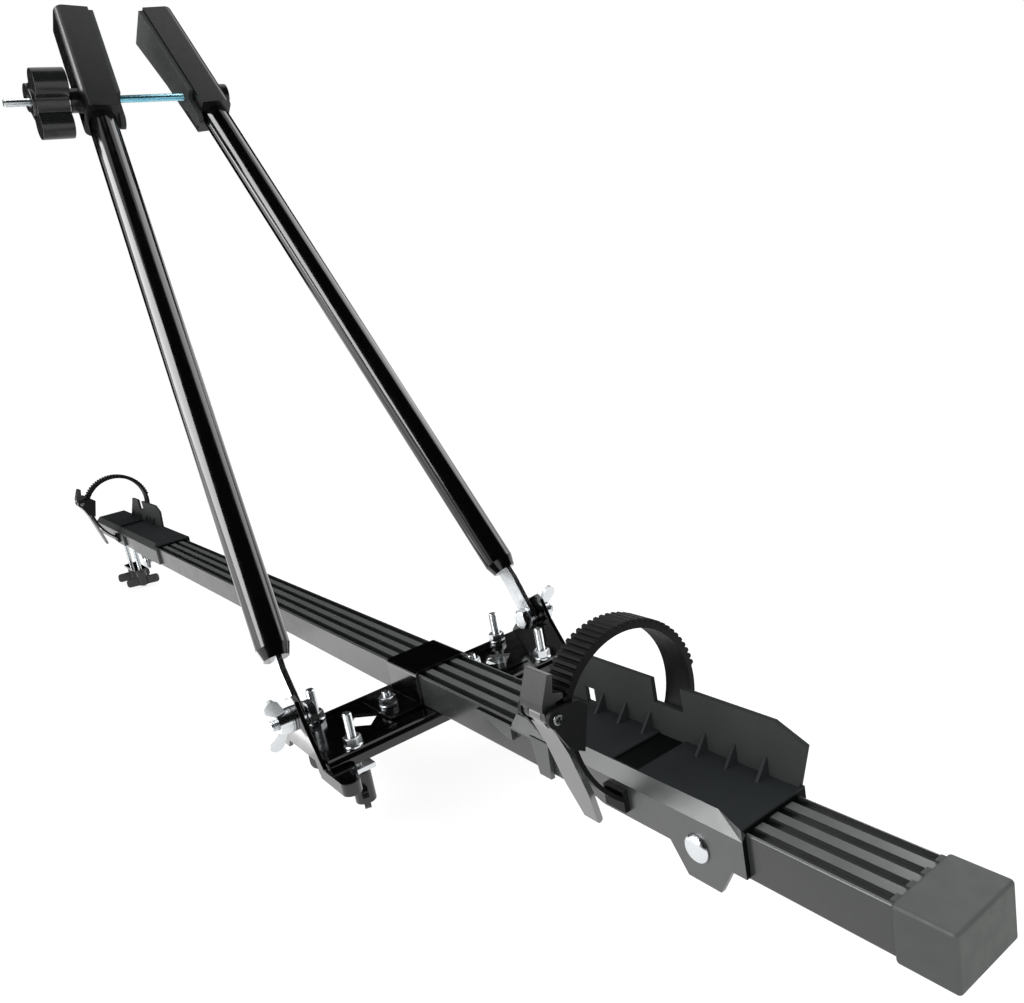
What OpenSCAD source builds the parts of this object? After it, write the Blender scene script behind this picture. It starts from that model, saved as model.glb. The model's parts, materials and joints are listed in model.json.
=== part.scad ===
// Roof bar bicycle carrier: a ribbed rail with a wheel tray and a ratchet strap at each end,
// and two folding arms whose jaws grip the frame of the bicycle.
// X runs along the rail towards its front end, Y across the vehicle and Z up.
// The origin is the middle of the front roof bar seat, under the cross bracket.
// The near side is -Y and the far side is +Y.

/* [Rail] */
// Width of the rail
rail_w = 36; // [34:1:44]
// Height of the rail
rail_h = 22; // [20:1:28]
// Sheet thickness of the rail
rail_wall = 1.6; // [1.2:0.1:2]
// Outer corner radius of the rail
rail_corner = 1.2; // [0.8:0.1:3]
// From the front bar seat to the front end of the rail
rail_front = 377; // [350:1:450]
// From the rear bar seat to the rear end of the rail
rail_rear = 75; // [70:1:225]
// Width of the slot along the underside
slot_w = 8.4; // [7:0.1:10]
// Width of a groove in the top
groove_w = 4.6; // [2:0.1:5]
// Depth of a groove in the top
groove_d = 2.4; // [0.8:0.1:3]
// Spacing of the grooves
groove_pitch = 9.6; // [7.5:0.1:10]
// Wall of the front end cap
cap_wall = 1.3; // [1:0.1:3]
// Length of rail that the front end cap covers
cap_cover = 22; // [12:1:30]
// Thickness of the end faces of both caps
cap_end = 3.5; // [2:0.5:6]

/* [Cross bracket] */
// Width of the bracket along the rail
bracket_w = 73; // [66:1:90]
// Sheet thickness of the bracket
bracket_t = 2.5; // [2:0.5:4]
// Height of the turned down lips
lip_h = 8; // [6:1:12]
// From the rail's middle to the outer face of a pivot ear
ear_y = 97; // [92:1:110]
// Thickness of a pivot ear
ear_t = 3; // [2:0.5:5]
// Height of an ear above the bar seat
ear_h = 38; // [32:1:44]
// How far the front lug of an ear reaches ahead of the bracket
lug_reach = 24; // [16:1:30]
// Width of that lug where it leaves the bracket
lug_w = 18; // [14:1:19]
// Half the width of the roof bar's way through the ears
bar_half = 20; // [16:1:21]
// Width of the saddle strap along the rail
saddle_w = 40; // [28:1:50]
// Sheet thickness of the saddle strap
saddle_t = 2; // [1.5:0.5:4]
// From the rail's middle to a saddle stud
saddle_stud_y = 34; // [32:1:40]

/* [Bar clamps] */
// From the bracket's edges to a front clamp stud
stud_edge = 8.5; // [8:0.5:12]
// From the middle of the rear bar to a rear clamp bolt
rear_stud_x = 27; // [24:1:32]
// From the rail's middle to the studs of a front clamp
stud_y = 74; // [66:1:76]
// Height of the front studs above the seat
stud_up = 24.5; // [18:0.5:30]
// Depth of the front studs below the seat
stud_down = 36; // [34:0.5:60]
// Space for the bar above a front clamp plate as shown
front_bar_gap = 11; // [9:0.5:30]
// Space for the bar above the rear clamp plate as shown
rear_bar_gap = 44; // [20:1:60]
// From the front bar seat to the rear bar seat
bar_spacing = 875; // [870:1:885]
// Thickness of the clamp plates
clamp_t = 3; // [2:0.5:5]
// Width of the clamp plates
clamp_w = 18; // [14:1:20]
// Span of a front hand nut over its wings
wing_span = 30; // [24:1:32]
// Span of a rear hand nut over its wings
rear_wing_span = 44; // [24:1:46]
// Height of a hand nut
wing_h = 20; // [16:1:26]

/* [Arms] */
// Place of the arm pivots along the rail
pivot_x = -5; // [-10:1:0]
// Height of the arm pivots above the seat
pivot_z = 20.5; // [18:0.5:26]
// Lean of the arms from upright
lean = 32.8; // [10:0.1:45]
// Outer diameter of an arm tube
tube_d = 22; // [18:0.5:25]
// Wall of an arm tube
tube_wall = 1.5; // [1:0.1:2.5]
// From the pivot to the lower end of a tube
tube_start = 39; // [36:1:60]
// From the pivots to the jaw bolt, along the lean
bolt_reach = 515; // [440:1:560]
// From the middle to an arm's axis at the jaw bolt
jaw_half = 43.5; // [40:0.5:50]
// Width of an arm's flat tongue
tongue_w = 15; // [12:0.5:16]
// Thickness of an arm's flat tongue
tongue_t = 4; // [3:0.5:5]
// Width of a jaw
jaw_w = 32; // [29:1:36]
// Length of a jaw above the bolt
jaw_up = 86; // [60:1:95]
// Length of a jaw below the bolt
jaw_down = 22; // [18:1:30]
// From an arm's axis to the flat face of its jaw
jaw_flat = 13; // [12.5:0.5:15]
// Thickness of a jaw pad
pad_t = 4; // [3:0.5:6]
// Span of the clamping knob
knob_d = 56; // [46:1:64]
// Thickness of the clamping knob
knob_t = 24; // [16:1:26]

/* [Wheel trays] */
// Wall thickness of the trays
tray_t = 2.5; // [2:0.1:3.5]
// Thickness of a tray's floor
floor_t = 3; // [2:0.5:5]
// Height of the wheel wall above the rail
wall_h = 31.5; // [24:0.5:40]
// Depth of the skirts beside the rail
skirt_h = 20; // [18:0.5:26]
// Rear end of the front tray
front_tray_rear = 126; // [110:1:130]
// Front end of the front tray
front_tray_front = 290; // [280:1:310]
// Rear end of the rear tray
rear_tray_rear = -955; // [-990:1:-930]
// Front end of the rear tray
rear_tray_front = -615; // [-660:1:-600]
// Place of the front strap along the rail
front_strap_x = 213.5; // [205:0.5:220]
// Place of the rear strap along the rail
rear_strap_x = -820; // [-840:0.5:-800]

/* [Straps] */
// Width of a strap
strap_w = 17; // [14:0.5:20]
// Thickness of a strap under its teeth
strap_t = 3; // [2:0.5:4]
// Height of a strap's teeth
tooth_h = 1.6; // [1:0.1:2]
// Mean radius of a strap's arch
strap_r = 39.5; // [36:0.5:42]
// Angle between two teeth
tooth_step = 5; // [4:0.5:8]
// Diameter of the buckle and anchor pins
pin_d = 4; // [3:0.5:5]
// Thickness of a buckle cheek
cheek_t = 2.5; // [2:0.5:4]

/* [Fasteners] */
// Thread diameter of bolts and studs
bolt_d = 6; // [5:1:6]
// Width across the flats of their nuts and heads
nut_af = 10; // [8:1:11]
// Height of their nuts
nut_h = 5; // [4:0.5:6]
// Outer diameter of their washers
washer_d = 12; // [11:0.5:14]
// Thickness of all washers
washer_t = 1.5; // [1:0.1:2]
// Diameter of the pivot bolts
pivot_d = 8; // [6:1:8]
// Radial clearance of pieces that turn or screw
run_gap = 0.05; // [0.02:0.01:0.1]
// Clearance of fixed pieces that fit together
fit_gap = 0.1; // [0.05:0.05:0.2]
// Clearance of pieces that slide or swing past each other
slide_gap = 0.3; // [0.3:0.05:0.5]
// Side clearance that lets an arm's tongue tilt
tilt_gap = 0.6; // [0.5:0.05:0.8]

/* [Hidden] */
$fn = 48;
eps = 0.01;
big = 60;

rail_top = bracket_t + rail_h;
rail_end = bar_spacing + rail_rear;
groove_n = 4;
cap_out = cap_wall + fit_gap;
hole_d = bolt_d + 2 * fit_gap;
slip_d = bolt_d + 2 * slide_gap;
thread_d = bolt_d + 2 * run_gap;
ear_in = ear_y - ear_t;
ear_r = 13;
lug_top = -2.8;
lug_h = 8;
nose_r = 6;
nose_x = bracket_w / 2 + lug_reach - nose_r;
nose_y = nose_r - ear_y;
saddle_foot = saddle_stud_y + 9;
window = 17;

tongue_y = ear_in - tilt_gap - tongue_t / 2;
head_y = tongue_y - tongue_t / 2 - tilt_gap - washer_t;
pivot_head_h = 5.3;
pivot_af = 13;
pivot_tip = 14;
bend_h = 30;
splay = atan2(tongue_y - jaw_half, bolt_reach - bend_h);
bolt_s = (bolt_reach - bend_h) / cos(splay);
tube_s = (tube_start - bend_h) / cos(splay);
cone_h = 8;
tongue_in = 24;
tube_over = 18;
slot_up = 3.4;
boss_r = 9;
near_boss = 20;
far_boss = 20;
head_deep = 5;
knob_gap = 0.6;
bolt_tip = 20;
lobe_r = 10.5;
hub_r = 14;
jaw_flare = 5;
jaw_wall = 1.8;
jaw_round = 7;
jaw_shift = (jaw_w - tube_d) / 2 - fit_gap - jaw_wall;

stud_plate_z = -front_bar_gap;
rear_plate_z = -rear_bar_gap;
stud_x = bracket_w / 2 - stud_edge;
clamp_half = bracket_w / 2 - bracket_t - 0.5;
rear_clamp_half = rear_stud_x + bolt_d / 2 + 2.5;
wing_t = 4;
wing_hub_r = 6.5;
wing_low = 11.5;
head_w = 14;
head_l = 10;
head_h = 4;

inner_y = rail_w / 2 + slide_gap;
outer_y = inner_y + tray_t;
floor_top = slide_gap + floor_t;
shoulder = 5.8;
tab_drop = 14;
tray_bolt_up = 5;
tray_bolt_down = 5.5;
front_tab_x = 263;
rear_tab_x = -690;
dome_r = 6.8;
dome_h = 3.2;
gusset = 8;
skirt_lead = 27;

strap_cy = -11;
strap_cz = 33;
arch_start = -26;
arch_end = 166;
teeth_start = 8;
anchor_y = outer_y + 4.7;
anchor_z = 9;
eye_r = 4.2;
strap_in = strap_r - strap_t / 2;
strap_out = strap_r + strap_t / 2;
cheek_in = strap_w / 2 + 0.5;
cheek_out = cheek_in + cheek_t;
web_gap = 0.8;
web_t = 2.2;
web_mid = strap_in - web_gap - web_t / 2;
arm_r = 58.2;
arm_inset = 0.9;
arm_cy = arm_r + strap_cy - web_mid + arm_inset;
arm_cz = 37;
arm_half = 7;
arm_sweep = acos((arm_cy + outer_y + web_t) / arm_r);
arm_low = arm_cz - arm_r * sin(arm_sweep);
pin_y = -55.6;
pin_z = 48.3;
hub = 3.8;
lever_half = cheek_in - 0.8;
lever_hub = lever_half / 2;

// Helpers

module along_x(x0, x1) {
    translate([x0, 0, 0])
        rotate([90, 0, 90])
            linear_extrude(x1 - x0)
                children();
}

module along_y(y0, y1) {
    translate([0, y1, 0])
        rotate([90, 0, 0])
            linear_extrude(y1 - y0)
                children();
}

module rounded_rect(w, h, r) {
    square([w - 2 * r, h], center = true);
    square([w, h - 2 * r], center = true);
    for (sx = [-1, 1])
        for (sy = [-1, 1])
            translate([sx * (w / 2 - r), sy * (h / 2 - r)])
                circle(r);
}

module hex_nut(af, h, bore) {
    difference() {
        cylinder(d = af / cos(30), h = h, $fn = 6);
        translate([0, 0, -1])
            cylinder(d = bore, h = h + 2);
    }
}

module washer(d, bore) {
    difference() {
        cylinder(d = d, h = washer_t);
        translate([0, 0, -1])
            cylinder(d = bore, h = washer_t + 2);
    }
}

module far_side() {
    mirror([0, 1, 0])
        children();
}

// Frame of the folded arms: the pivots' line is its Y axis and the jaw bolt lies at bolt_reach
module fold_frame() {
    translate([pivot_x, 0, pivot_z])
        rotate([0, -lean, 0])
            children();
}

// Frame of the near arm: Z runs up its tube and +Y points inwards
module arm_frame() {
    fold_frame()
        translate([0, -tongue_y, bend_h])
            rotate([-splay, 0, 0])
                children();
}

// Height above the top of the rail
module on_rail() {
    translate([0, 0, rail_top])
        children();
}

// Rail and end caps

module rail_outline(grow) {
    translate([0, rail_h / 2])
        rounded_rect(rail_w + 2 * grow, rail_h + 2 * grow, rail_corner);
}

module groove_row(w, d) {
    for (i = [0 : groove_n - 1])
        translate([(i - (groove_n - 1) / 2) * groove_pitch - w / 2, rail_h - d])
            square([w, d + 1]);
}

module rail_section() {
    difference() {
        rail_outline(0);
        difference() {
            rail_outline(-rail_wall);
            groove_row(groove_w + 2 * rail_wall, groove_d + rail_wall);
        }
        groove_row(groove_w, groove_d);
        translate([-slot_w / 2, -1])
            square([slot_w, rail_wall + 2]);
    }
}

module rail() {
    color("dimgray")
        difference() {
            translate([0, 0, bracket_t])
                along_x(-rail_end, rail_front)
                    rail_section();
            translate([front_tab_x, 0, bracket_t + tray_bolt_up])
                rotate([90, 0, 0])
                    cylinder(d = hole_d, h = rail_w + 2, center = true);
        }
}

module front_end_cap() {
    x0 = rail_front - cap_cover;
    x1 = rail_front + cap_end;
    r = 1.8;
    slope = 1;
    tongue = 1.4;
    root = 3;
    color("gray")
        difference() {
            union() {
                hull()
                    for (x = [x0 + r, x1 - r])
                        for (sy = [-1, 1])
                            for (z = [-cap_out + r, rail_h + cap_out - r])
                                translate([x - (x > x0 + r && z > 0 ? slope : 0),
                                    sy * (rail_w / 2 + cap_out - r), bracket_t + z])
                                    sphere(r, $fn = 24);
                translate([0, 0, bracket_t])
                    along_x(x0 - tongue, x0 + root)
                        intersection() {
                            groove_row(groove_w - 2 * fit_gap, groove_d - fit_gap);
                            translate([-rail_w / 2, 0])
                                square([rail_w, rail_h + cap_wall]);
                        }
            }
            translate([0, 0, bracket_t])
                along_x(x0 - 1, rail_front + fit_gap)
                    difference() {
                        rail_outline(fit_gap);
                        groove_row(groove_w - 2 * fit_gap, groove_d - fit_gap);
                    }
        }
}

module rear_end_plug() {
    plug_h = rail_h - 2 * rail_wall - groove_d - 2 * fit_gap;
    plug_w = rail_w - 2 * rail_wall - 2 * fit_gap;
    plug_l = 12;
    color("dimgray") {
        translate([0, 0, bracket_t])
            along_x(-rail_end - cap_end, -rail_end)
                rail_outline(0);
        translate([0, 0, bracket_t + rail_wall + fit_gap + plug_h / 2])
            along_x(-rail_end - eps, plug_l - rail_end)
                rounded_rect(plug_w, plug_h, rail_corner);
    }
}

// Cross bracket, ears and saddle

module bracket_section() {
    difference() {
        translate([0, bracket_t - big / 2])
            rounded_rect(bracket_w, big, 4);
        translate([0, -big / 2])
            rounded_rect(bracket_w - 2 * bracket_t, big, 1.5);
        translate([-bracket_w, -2 * big + bracket_t - lip_h])
            square([2 * bracket_w, 2 * big]);
    }
}

module cross_bracket() {
    rib_l = 22;
    rib_w = 4;
    rib_h = 0.8;
    mid_y = (saddle_stud_y + stud_y) / 2;
    color("black")
        difference() {
            union() {
                along_y(-ear_in, ear_in)
                    bracket_section();
                for (s = [-1, 1])
                    for (x = [-1, 1])
                        translate([x * stud_x * 0.75 - rib_w / 2, s * mid_y - rib_l / 2, bracket_t - eps])
                            cube([rib_w, rib_l, rib_h]);
            }
            for (s = [-1, 1]) {
                for (x = [-stud_x, stud_x])
                    translate([x, s * stud_y, -1])
                        cylinder(d = hole_d, h = bracket_t + 2);
                translate([0, s * saddle_stud_y, -1])
                    cylinder(d = hole_d, h = bracket_t + 2);
                translate([0, s * mid_y, -1])
                    rotate([0, 0, 45])
                        translate([-window / 2, -window / 2, 0])
                            cube([window, window, bracket_t + 3]);
            }
        }
}

module ear_outline() {
    edge = bracket_w / 2;
    low = bracket_t - lip_h;
    polygon([
        [-edge, low],
        [-edge, bracket_t],
        [pivot_x - ear_r, pivot_z],
        [pivot_x - ear_r * 0.7, pivot_z + ear_r * 0.7],
        [pivot_x + ear_r * 0.6, ear_h],
        [pivot_x + ear_r, ear_h - 3],
        [pivot_x + ear_r * 1.5, pivot_z],
        [edge - 5, lug_top],
        [nose_x, lug_top],
        [nose_x, lug_top - lug_h],
        [bar_half + 4, lug_top - lug_h],
        [bar_half, 0],
        [-bar_half, 0],
        [-bar_half - 4, low]
    ]);
    translate([pivot_x, pivot_z])
        circle(ear_r);
}

// Forward lug of the near ear, seen from above
module lug_plan(inset) {
    front = bracket_w / 2 + inset;
    r = nose_r - inset;
    polygon([
        [front, inset - ear_y],
        [nose_x, inset - ear_y],
        [nose_x + r, nose_y],
        [nose_x + r * cos(60), nose_y + r * sin(60)],
        [front, lug_w - ear_y - inset]
    ]);
    translate([nose_x, nose_y])
        circle(r);
}

module near_ear_solid() {
    difference() {
        along_y(-ear_y, -ear_in)
            ear_outline();
        translate([pivot_x, -ear_y - 1, pivot_z])
            rotate([-90, 0, 0])
                cylinder(d = pivot_d + 2 * fit_gap, h = ear_t + 2);
    }
    difference() {
        translate([0, 0, lug_top - lug_h])
            linear_extrude(lug_h)
                lug_plan(0);
        translate([0, 0, lug_top - lug_h - 1])
            linear_extrude(lug_h + 1 - bracket_t)
                lug_plan(ear_t);
    }
}

module near_pivot_ear() {
    color("black")
        near_ear_solid();
}

module far_pivot_ear() {
    color("black")
        far_side()
            near_ear_solid();
}

module saddle_strap() {
    leg = rail_w / 2 + fit_gap;
    color("black")
        difference() {
            translate([0, 0, bracket_t])
                along_x(-saddle_w / 2, saddle_w / 2) {
                    difference() {
                        intersection() {
                            rounded_rect(2 * (leg + saddle_t), 2 * (rail_h + fit_gap + saddle_t), 3);
                            translate([-big, 0])
                                square([2 * big, big]);
                        }
                        translate([-leg, -1])
                            square([2 * leg, rail_h + fit_gap + 1]);
                    }
                    for (s = [-1, 1])
                        translate([s > 0 ? leg + 0.5 : -saddle_foot, 0])
                            square([saddle_foot - leg - 0.5, saddle_t]);
                }
            for (s = [-1, 1])
                translate([0, s * saddle_stud_y, 0])
                    cylinder(d = hole_d, h = bracket_t + saddle_t + 1);
        }
}

module saddle_studs() {
    top = bracket_t + saddle_t + washer_t + nut_h + 3.5;
    color("silver")
        for (s = [-1, 1])
            translate([0, s * saddle_stud_y, 0])
                cylinder(d = bolt_d, h = top);
}

module saddle_washers() {
    color("silver")
        for (s = [-1, 1])
            translate([0, s * saddle_stud_y, bracket_t + saddle_t])
                washer(washer_d, hole_d);
}

module saddle_nuts() {
    color("silver")
        for (s = [-1, 1])
            translate([0, s * saddle_stud_y, bracket_t + saddle_t + washer_t])
                hex_nut(nut_af, nut_h, hole_d);
}

// Front bar clamps

module stud_washers() {
    color("silver")
        for (s = [-1, 1])
            for (x = [-stud_x, stud_x])
                translate([x, s * stud_y, bracket_t])
                    washer(washer_d, hole_d);
}

module stud_nuts() {
    color("silver")
        for (s = [-1, 1])
            for (x = [-stud_x, stud_x])
                translate([x, s * stud_y, bracket_t + washer_t])
                    hex_nut(nut_af, nut_h, hole_d);
}

module clamp_studs(y) {
    color("silver")
        for (x = [-stud_x, stud_x])
            translate([x, y, -stud_down])
                cylinder(d = bolt_d, h = stud_down + stud_up);
}

module clamp_plate(y, top, half, bolt_x) {
    color("silver")
        difference() {
            translate([-half, y - clamp_w / 2, top - clamp_t])
                cube([2 * half, clamp_w, clamp_t]);
            for (x = [-bolt_x, bolt_x])
                translate([x, y, top - clamp_t - 1])
                    cylinder(d = slip_d, h = clamp_t + 2);
        }
}

module hand_nut(span, turn) {
    corner = 4;
    color("black")
        rotate([0, 0, turn])
            difference() {
                union() {
                    translate([0, 0, -wing_h])
                        cylinder(r = wing_hub_r, h = wing_h);
                    translate([0, 0, -wing_h])
                        along_y(-wing_t / 2, wing_t / 2) {
                            translate([0, wing_low / 2])
                                rounded_rect(span, wing_low, corner);
                        }
                }
                translate([0, 0, -wing_h - 1])
                    cylinder(d = thread_d, h = wing_h + 2);
            }
}

module front_hand_nut(x, y, turn) {
    translate([x, y, stud_plate_z - clamp_t - slide_gap])
        hand_nut(wing_span, turn);
}

// Rear bar clamp, which hangs in the slot of the rail

module rear_clamp_bolts() {
    head_z = bracket_t + rail_wall + slide_gap;
    low = rear_plate_z - clamp_t - wing_h - 3;
    color("silver")
        for (x = [-rear_stud_x, rear_stud_x])
            translate([x - bar_spacing, 0, 0]) {
                translate([-head_l / 2, -head_w / 2, head_z])
                    cube([head_l, head_w, head_h]);
                translate([0, 0, low])
                    cylinder(d = bolt_d, h = head_z - low + eps);
            }
}

// Tapped plate that draws the bolt heads down on the edges of the slot
module rear_seat_plate() {
    color("silver")
        translate([-bar_spacing, 0, 0])
            difference() {
                translate([-rear_clamp_half, -clamp_w / 2, 0])
                    cube([2 * rear_clamp_half, clamp_w, bracket_t - slide_gap]);
                for (x = [-rear_stud_x, rear_stud_x])
                    translate([x, 0, -1])
                        cylinder(d = hole_d, h = bracket_t + 2);
            }
}

module rear_clamp_plate() {
    translate([-bar_spacing, 0, 0])
        clamp_plate(0, rear_plate_z, rear_clamp_half, rear_stud_x);
}

module rear_hand_nut(x, turn) {
    translate([x - bar_spacing, 0, rear_plate_z - clamp_t - slide_gap])
        hand_nut(rear_wing_span, turn);
}

// Arm pivots

module pivot_side(s) {
    translate([pivot_x, 0, pivot_z])
        if (s < 0)
            children();
        else
            far_side()
                children();
}

module pivot_bolts() {
    color("silver")
        for (s = [-1, 1])
            pivot_side(s) {
                translate([0, eps - head_y, 0])
                    rotate([90, 0, 0])
                        cylinder(d = pivot_d, h = ear_y - head_y + pivot_tip);
                translate([0, pivot_head_h - head_y, 0])
                    rotate([90, 0, 0])
                        cylinder(d = pivot_af / cos(30), h = pivot_head_h, $fn = 6);
            }
}

module pivot_washers() {
    bore = pivot_d + 2 * fit_gap;
    wide = 2 * pivot_d;
    color("silver")
        for (s = [-1, 1])
            pivot_side(s) {
                translate([0, -head_y, 0])
                    rotate([90, 0, 0])
                        washer(wide, bore);
                translate([0, -ear_y, 0])
                    rotate([90, 0, 0])
                        washer(wide, bore);
            }
}

module pivot_wing_nut(s) {
    hub_h = 8;
    hub_d = 14;
    reach = 19;
    blade = 2.5;
    tip_r = 5;
    color("silver")
        pivot_side(s)
            translate([0, -ear_y - washer_t - slide_gap, 0])
                rotate([90, 0, 0])
                    difference() {
                        union() {
                            cylinder(d1 = hub_d + 2, d2 = hub_d, h = hub_h);
                            for (a = [75, 255])
                                rotate([90, 0, a])
                                    translate([0, 0, -blade / 2])
                                        linear_extrude(blade) {
                                            translate([reach - tip_r, hub_h + 2])
                                                circle(tip_r);
                                            polygon([
                                                [hub_d / 2 - 2, 0.5],
                                                [hub_d / 2 - 2, hub_h - 0.5],
                                                [reach - tip_r - 2, hub_h + 2 + tip_r * 0.9],
                                                [reach - tip_r + 3, hub_h + 2 - tip_r * 0.8]
                                            ]);
                                        }
                        }
                        translate([0, 0, -1])
                            cylinder(d = pivot_d + 2 * run_gap, h = hub_h + 2);
                    }
}

// Arms: a flat tongue, a tube, a jaw and its pad on each side

// Bent strip of a tongue, seen along X, with its lower end at the pivot
module tongue_side() {
    half = tongue_t / 2;
    mitre = half * tan(splay / 2);
    end_y = (tube_s + tongue_in) * sin(splay);
    end_z = bend_h + (tube_s + tongue_in) * cos(splay);
    polygon([
        [-half, -tongue_w],
        [half, -tongue_w],
        [half, bend_h - mitre],
        [end_y + half * cos(splay), end_z - half * sin(splay)],
        [end_y - half * cos(splay), end_z + half * sin(splay)],
        [-half, bend_h + mitre]
    ]);
}

module near_tongue_solid() {
    fold_frame()
        translate([0, -tongue_y, 0])
            difference() {
                intersection() {
                    along_x(-tongue_w, tongue_w)
                        tongue_side();
                    along_y(-big, big) {
                        circle(d = tongue_w);
                        translate([-tongue_w / 2, 0])
                            square([tongue_w, 2 * big]);
                    }
                }
                rotate([90, 0, 0])
                    cylinder(d = pivot_d + 2 * fit_gap, h = tongue_t + 2, center = true);
            }
}

// A hole along the jaw bolt, long enough upwards for the arm to tilt
module bolt_slot(up) {
    translate([0, 0, bolt_s])
        rotate([splay, 0, 0])
            rotate([90, 0, 0]) {
                cylinder(d = slip_d, h = 2 * big, center = true);
                if (up > 0) {
                    translate([0, up, 0])
                        cylinder(d = slip_d, h = 2 * big, center = true);
                    translate([-slip_d / 2, 0, -big])
                        cube([slip_d, up, 2 * big]);
                }
            }
}

module tube_solid(up) {
    difference() {
        union() {
            translate([0, 0, tube_s])
                cylinder(d1 = tongue_w + 2, d2 = tube_d, h = cone_h);
            translate([0, 0, tube_s + cone_h - eps])
                cylinder(d = tube_d, h = bolt_s + tube_over - tube_s - cone_h);
        }
        translate([0, 0, tube_s + cone_h])
            cylinder(d = tube_d - 2 * tube_wall, h = bolt_s);
        translate([-tongue_w / 2 - fit_gap, -tongue_t / 2 - fit_gap, tube_s - 1])
            cube([tongue_w + 2 * fit_gap, tongue_t + 2 * fit_gap, cone_h + 2]);
        bolt_slot(up);
    }
}

module jaw_solid(up, boss) {
    back = jaw_shift - jaw_w / 2 + jaw_round;
    difference() {
        union() {
            translate([0, 0, bolt_s - jaw_down])
                linear_extrude(jaw_up + jaw_down)
                    polygon(concat(
                        [[jaw_w / 2, jaw_flat], [-jaw_w / 2, jaw_flat]],
                        [for (a = [180 : 15 : 270]) [jaw_round - jaw_w / 2, back] + jaw_round * [cos(a), sin(a)]],
                        [for (a = [270 : 15 : 360]) [jaw_w / 2 - jaw_round, back] + jaw_round * [cos(a), sin(a)]]
                    ));
            translate([0, 0, bolt_s])
                along_y(jaw_shift, jaw_flat)
                    polygon([
                        [-jaw_w / 2, -jaw_down],
                        [-jaw_w / 2 - jaw_flare, jaw_up],
                        [jaw_w / 2, jaw_up],
                        [jaw_w / 2, -jaw_down]
                    ]);
            translate([0, 0, bolt_s])
                rotate([splay, 0, 0])
                    rotate([90, 0, 0])
                        cylinder(r = boss_r, h = boss);
        }
        translate([0, 0, bolt_s - jaw_down - 1])
            cylinder(d = tube_d + 2 * fit_gap, h = jaw_down + tube_over + 1 + fit_gap);
        translate([-jaw_w, jaw_flat, bolt_s - big])
            cube([2 * jaw_w, big, 3 * big]);
        bolt_slot(up);
        if (up == 0)
            translate([0, 0, bolt_s])
                rotate([splay, 0, 0])
                    translate([0, head_deep - far_boss, 0])
                        rotate([90, 0, 0])
                            cylinder(d = nut_af / cos(30) + 2 * fit_gap, h = head_deep + 1);
    }
}

module pad_solid(up) {
    top = jaw_up - 1;
    inset = 2;
    prong = 6;
    web = 2;
    difference() {
        translate([0, 0, bolt_s])
            along_y(jaw_flat, jaw_flat + pad_t)
                polygon(concat(
                    [for (a = [180 : 15 : 360]) [prong * cos(a), prong * sin(a) - jaw_down]],
                    [
                        [prong, -prong - web],
                        [prong + web, -prong],
                        [jaw_w / 2 - inset, -prong],
                        [jaw_w / 2 - inset, top],
                        [-jaw_w / 2 - jaw_flare + inset, top],
                        [-prong - web, -prong],
                        [-prong, -prong - web]
                    ]
                ));
        bolt_slot(up);
    }
}

module near_tongue() {
    color("lightgray")
        near_tongue_solid();
}

module far_tongue() {
    color("lightgray")
        far_side()
            near_tongue_solid();
}

module near_tube() {
    color("black")
        arm_frame()
            tube_solid(slot_up);
}

module far_tube() {
    color("black")
        far_side()
            arm_frame()
                tube_solid(0);
}

module near_jaw() {
    color("black")
        arm_frame()
            jaw_solid(slot_up, near_boss);
}

module far_jaw() {
    color("black")
        far_side()
            arm_frame()
                jaw_solid(0, far_boss);
}

module near_jaw_pad() {
    color("dimgray")
        arm_frame()
            pad_solid(slot_up);
}

module far_jaw_pad() {
    color("dimgray")
        far_side()
            arm_frame()
                pad_solid(0);
}

module jaw_bolt() {
    head_top = jaw_half + far_boss - head_deep;
    near_end = jaw_half + near_boss + 2 * knob_gap + washer_t + knob_t + bolt_tip;
    color("lightsteelblue")
        fold_frame()
            translate([0, head_top, bolt_reach])
                rotate([90, 0, 0]) {
                    cylinder(d = bolt_d, h = head_top + near_end);
                    translate([0, 0, 0.5 - head_deep])
                        cylinder(d = nut_af / cos(30), h = head_deep - 0.5, $fn = 6);
                }
}

module knob_washer() {
    color("silver")
        fold_frame()
            translate([0, -jaw_half - near_boss - knob_gap, bolt_reach])
                rotate([90, 0, 0])
                    washer(2 * boss_r, hole_d);
}

module knob_outline() {
    neck = lobe_r - 1.5;
    circle(hub_r);
    for (a = [90, 210, 330])
        rotate(a + lean) {
            translate([knob_d / 2 - lobe_r, 0])
                circle(lobe_r);
            translate([0, -neck])
                square([knob_d / 2 - lobe_r, 2 * neck]);
        }
}

module knob() {
    color("black")
        fold_frame()
            translate([0, -jaw_half - near_boss - knob_gap - washer_t - slide_gap, bolt_reach])
                rotate([90, 0, 0])
                    difference() {
                        linear_extrude(knob_t)
                            knob_outline();
                        translate([0, 0, -1])
                            cylinder(d = thread_d, h = knob_t + 2);
                    }
}

// Wheel trays. Heights in them are above the top of the rail

module tray_section() {
    corner = (2 - sqrt(2)) * (rail_corner + slide_gap);
    polygon([
        [-outer_y, -skirt_h],
        [-inner_y, -skirt_h],
        [-inner_y, slide_gap - corner],
        [corner - inner_y, slide_gap],
        [inner_y, slide_gap],
        [inner_y, -skirt_h],
        [outer_y, -skirt_h],
        [outer_y, floor_top],
        [shoulder - outer_y, floor_top],
        [-outer_y, floor_top - shoulder]
    ]);
}

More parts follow.
